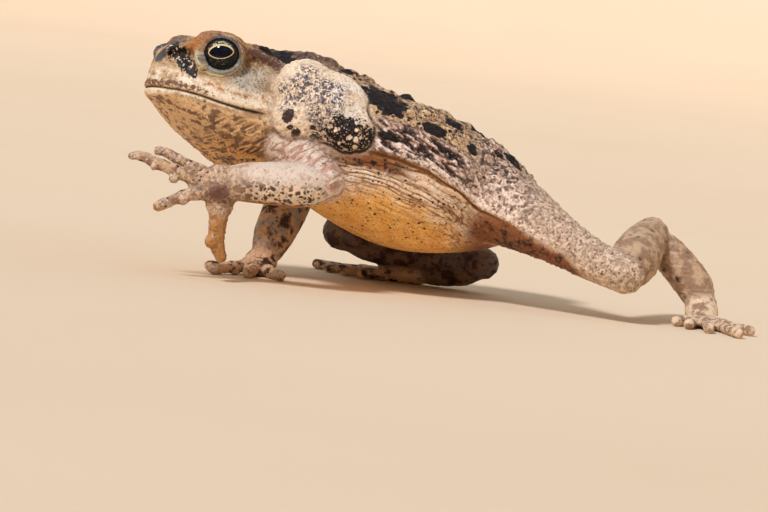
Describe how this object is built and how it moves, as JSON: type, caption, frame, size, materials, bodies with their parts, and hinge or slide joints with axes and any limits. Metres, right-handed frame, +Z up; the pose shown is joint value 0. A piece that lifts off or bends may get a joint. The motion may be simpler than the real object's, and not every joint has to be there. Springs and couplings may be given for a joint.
{
  "type": "cane toad model",
  "caption": "Life-size still model of a cane toad striding, with one hand lifted, a warty back, large glands behind the head and the hind leg pushing off.",
  "frame": {"origin": "middle of the model's footprint, on the floor it stands on", "axes": "-X the way the toad walks, -Y its left side, +Z up"},
  "size_m": [0.2056, 0.112, 0.079],
  "materials": {
    "eardrum_left": "cast resin painted as dry, pebbled skin",
    "eardrum_right": "cast resin painted as dry, pebbled skin",
    "eye_left": "glossy, like a glass eye",
    "eye_right": "glossy, like a glass eye",
    "foot_left": "cast resin painted as dry, pebbled skin",
    "foot_right": "cast resin painted as dry, pebbled skin",
    "forearm_left": "cast resin painted as dry, pebbled skin",
    "forearm_right": "cast resin painted as dry, pebbled skin",
    "hand_left": "cast resin painted as dry, pebbled skin",
    "hand_right": "cast resin painted as dry, pebbled skin",
    "head": "cast resin painted as dry, pebbled skin",
    "lower_jaw": "cast resin painted as dry, pebbled skin",
    "parotoid_left": "cast resin painted as dry, pebbled skin",
    "parotoid_right": "cast resin painted as dry, pebbled skin",
    "shank_left": "cast resin painted as dry, pebbled skin",
    "shank_right": "cast resin painted as dry, pebbled skin",
    "tarsus_left": "cast resin painted as dry, pebbled skin",
    "tarsus_right": "cast resin painted as dry, pebbled skin",
    "thigh_left": "cast resin painted as dry, pebbled skin",
    "thigh_right": "cast resin painted as dry, pebbled skin",
    "torso": "cast resin painted as dry, pebbled skin",
    "upper_arm_left": "cast resin painted as dry, pebbled skin",
    "upper_arm_right": "cast resin painted as dry, pebbled skin"
  },
  "bodies": {
    "root": {"eardrum_left": "eardrum_left", "eardrum_right": "eardrum_right", "eye_left": "eye_left", "eye_right": "eye_right", "foot_left": "foot_left", "foot_right": "foot_right", "forearm_left": "forearm_left", "forearm_right": "forearm_right", "hand_left": "hand_left", "hand_right": "hand_right", "head": "head", "lower_jaw": "lower_jaw", "parotoid_left": "parotoid_left", "parotoid_right": "parotoid_right", "shank_left": "shank_left", "shank_right": "shank_right", "tarsus_left": "tarsus_left", "tarsus_right": "tarsus_right", "thigh_left": "thigh_left", "thigh_right": "thigh_right", "torso": "torso", "upper_arm_left": "upper_arm_left", "upper_arm_right": "upper_arm_right"}
  },
  "joints": []
}
